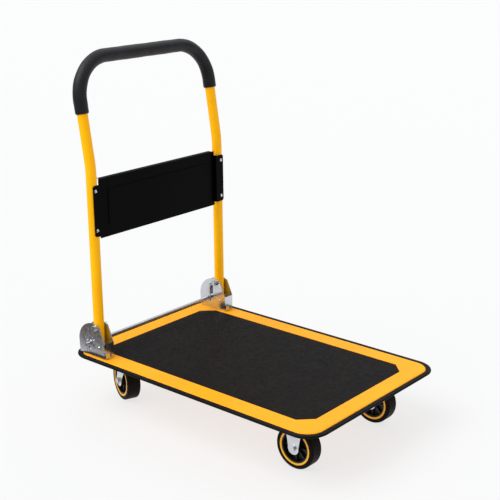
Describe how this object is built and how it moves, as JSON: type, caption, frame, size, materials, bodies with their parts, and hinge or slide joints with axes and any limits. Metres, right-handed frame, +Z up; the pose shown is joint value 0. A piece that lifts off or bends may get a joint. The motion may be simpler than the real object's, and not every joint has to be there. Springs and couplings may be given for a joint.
{
  "type": "platform trolley",
  "caption": "Flat-bed hand trolley with a folding hoop handle, rubber-edged deck with an anti-slip mat, fixed front casters and swivel rear casters.",
  "frame": {"origin": "on the ground under the middle of the deck", "axes": "+X forward, away from the handle; +Y to the left of a person pushing; +Z up"},
  "size_m": [0.754, 0.509, 0.8711],
  "materials": {
    "deck_paint": "yellow powder coat",
    "handle_paint": "yellow powder coat",
    "mat_rubber": "pebbled black vinyl",
    "bumper_rubber": "smooth black rubber",
    "grip_foam": "black foam rubber sleeve",
    "panel_paint": "satin black paint",
    "plug_plastic": "black plastic",
    "bracket_zinc": "bright zinc plate",
    "fastener_zinc": "zinc plate",
    "rivet_chrome": "bright domed rivet",
    "bar_zinc": "zinc plate",
    "spring_steel": "drawn spring wire",
    "caster_zinc": "bright zinc plate",
    "ball_steel": "polished balls",
    "tyre_rubber": "black rubber",
    "rim_plastic": "yellow moulded plastic",
    "hub_plastic": "black moulded plastic",
    "bush_steel": "turned steel tube"
  },
  "bodies": {
    "deck": {"deck_pan": "deck_paint", "deck_mat": "mat_rubber", "deck_channel_front": "deck_paint", "deck_channel_rear": "deck_paint", "deck_rails": "deck_paint", "bumper": "bumper_rubber", "hinge_bracket_left": "bracket_zinc", "hinge_bracket_right": "bracket_zinc", "bracket_bolts": "fastener_zinc", "bracket_nuts": "fastener_zinc", "pivot_bolts": "fastener_zinc", "pivot_nuts": "fastener_zinc", "spacer_rivets": "fastener_zinc", "spring_anchors": "fastener_zinc", "release_spring_left": "spring_steel", "release_spring_right": "spring_steel", "caster_bolts": "fastener_zinc", "caster_nuts": "fastener_zinc", "fixed_fork_left": "caster_zinc", "fixed_fork_right": "caster_zinc", "front_axle_bolts": "fastener_zinc", "front_axle_nuts": "fastener_zinc", "swivel_plate_left": "caster_zinc", "swivel_plate_right": "caster_zinc", "race_balls_left": "ball_steel", "race_balls_right": "ball_steel", "kingpins": "fastener_zinc", "kingpin_nuts": "fastener_zinc"},
    "handle": {"handle_tube": "handle_paint", "tube_plugs": "plug_plastic", "pivot_sleeves": "fastener_zinc", "foam_grip": "grip_foam", "handle_panel": "panel_paint", "panel_rivets": "rivet_chrome"},
    "release": {"release_bar": "bar_zinc", "release_washers": "bar_zinc", "release_pins": "bar_zinc"},
    "swivel_left": {"swivel_fork_left": "caster_zinc", "rear_axle_bolt_left": "fastener_zinc", "rear_axle_nut_left": "fastener_zinc"},
    "swivel_right": {"swivel_fork_right": "caster_zinc", "rear_axle_bolt_right": "fastener_zinc", "rear_axle_nut_right": "fastener_zinc"},
    "wheel_front_left": {"tyre_front_left": "tyre_rubber", "rim_front_left": "rim_plastic", "hub_front_left": "hub_plastic", "bush_front_left": "bush_steel"},
    "wheel_front_right": {"tyre_front_right": "tyre_rubber", "rim_front_right": "rim_plastic", "hub_front_right": "hub_plastic", "bush_front_right": "bush_steel"},
    "wheel_rear_left": {"tyre_rear_left": "tyre_rubber", "rim_rear_left": "rim_plastic", "hub_rear_left": "hub_plastic", "bush_rear_left": "bush_steel"},
    "wheel_rear_right": {"tyre_rear_right": "tyre_rubber", "rim_rear_right": "rim_plastic", "hub_rear_right": "hub_plastic", "bush_rear_right": "bush_steel"}
  },
  "joints": [
    {"name": "handle_fold", "type": "hinge", "parent": "deck", "child": "handle", "pos_m": [-0.2984, 0, 0.212], "axis": [0, 1, 0], "range_deg": [0, 99.1]},
    {"name": "release_press", "type": "slide", "parent": "deck", "child": "release", "axis": [0, 0, -1], "range_m": [0, 0.012], "stiffness_N_per_m": 1200, "springref_m": -0.012, "deforming": ["release_spring_left", "release_spring_right"]},
    {"name": "swivel_left_turn", "type": "hinge", "parent": "deck", "child": "swivel_left", "pos_m": [-0.26, 0.155, 0.12], "axis": [0, 0, 1], "continuous": true},
    {"name": "swivel_right_turn", "type": "hinge", "parent": "deck", "child": "swivel_right", "pos_m": [-0.26, -0.155, 0.12], "axis": [0, 0, 1], "continuous": true},
    {"name": "wheel_front_left_spin", "type": "hinge", "parent": "deck", "child": "wheel_front_left", "pos_m": [0.264, 0.15, 0.0508], "axis": [0, 1, 0], "continuous": true},
    {"name": "wheel_front_right_spin", "type": "hinge", "parent": "deck", "child": "wheel_front_right", "pos_m": [0.264, -0.15, 0.0508], "axis": [0, 1, 0], "continuous": true},
    {"name": "wheel_rear_left_spin", "type": "hinge", "parent": "swivel_left", "child": "wheel_rear_left", "pos_m": [-0.28894, 0.16611, 0.0508], "axis": [0.3584, 0.9336, 0], "continuous": true},
    {"name": "wheel_rear_right_spin", "type": "hinge", "parent": "swivel_right", "child": "wheel_rear_right", "pos_m": [-0.28894, -0.14389, 0.0508], "axis": [0.3584, 0.9336, 0], "continuous": true}
  ]
}
